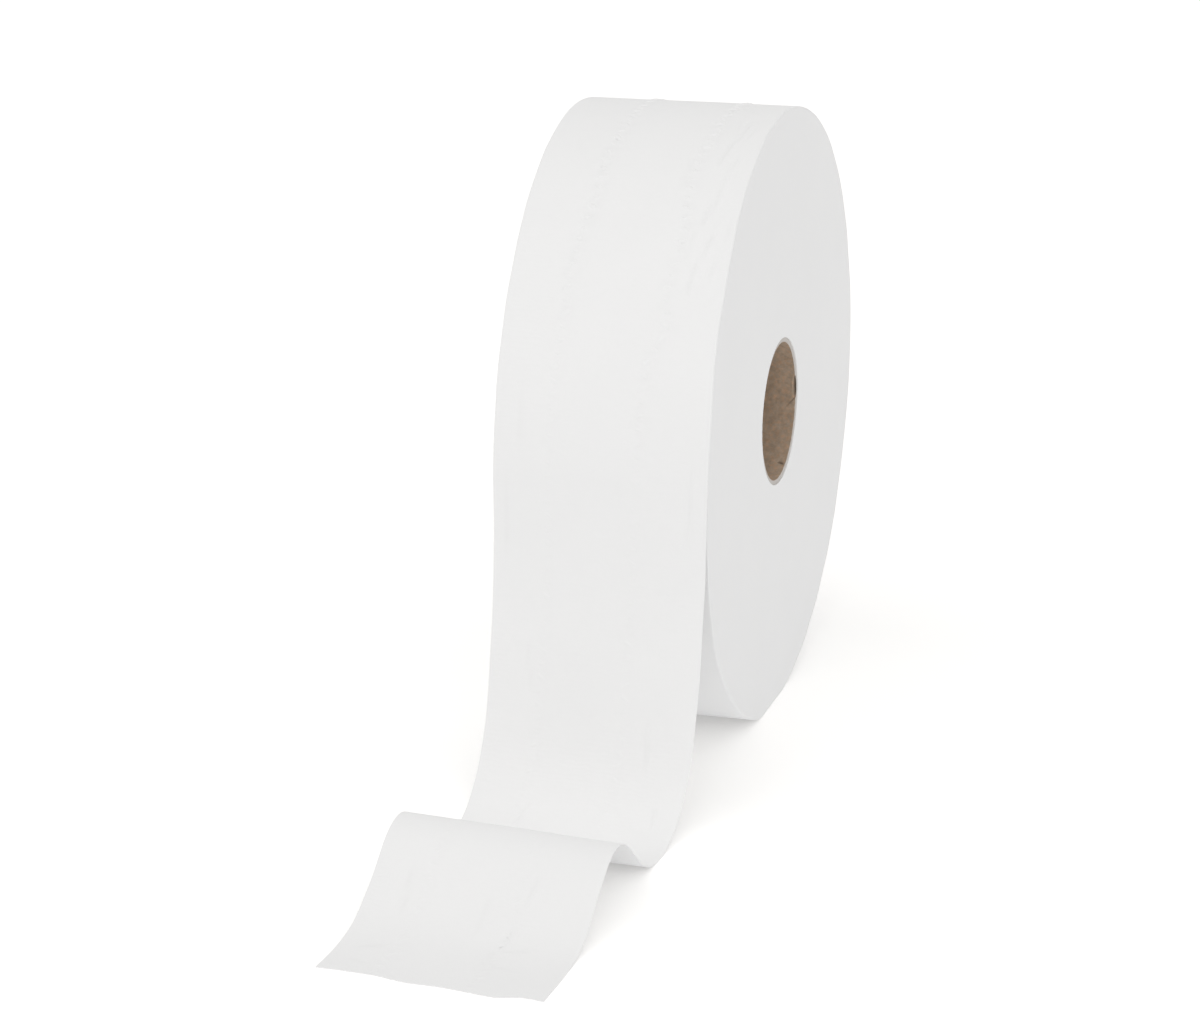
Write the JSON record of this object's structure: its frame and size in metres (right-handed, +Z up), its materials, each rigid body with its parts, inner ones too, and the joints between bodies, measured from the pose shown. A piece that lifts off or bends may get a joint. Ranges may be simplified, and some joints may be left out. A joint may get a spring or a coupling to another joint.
{
  "type": "toilet paper roll",
  "caption": "Jumbo roll of white two-ply tissue on a board core, standing on its rim, with its loose end hanging in front and curling over the floor.",
  "frame": {"origin": "centre of the core's bore, at the middle of the roll's width", "axes": "+X along the core, -Y towards the loose end in front, +Z up"},
  "size_m": [0.09, 0.4758, 0.2633],
  "materials": {
    "tissue": "soft matte creped tissue",
    "core_board": "matte grey-brown recycled board"
  },
  "bodies": {
    "root": {"tissue_web": "tissue", "cardboard_core": "core_board"}
  },
  "joints": []
}
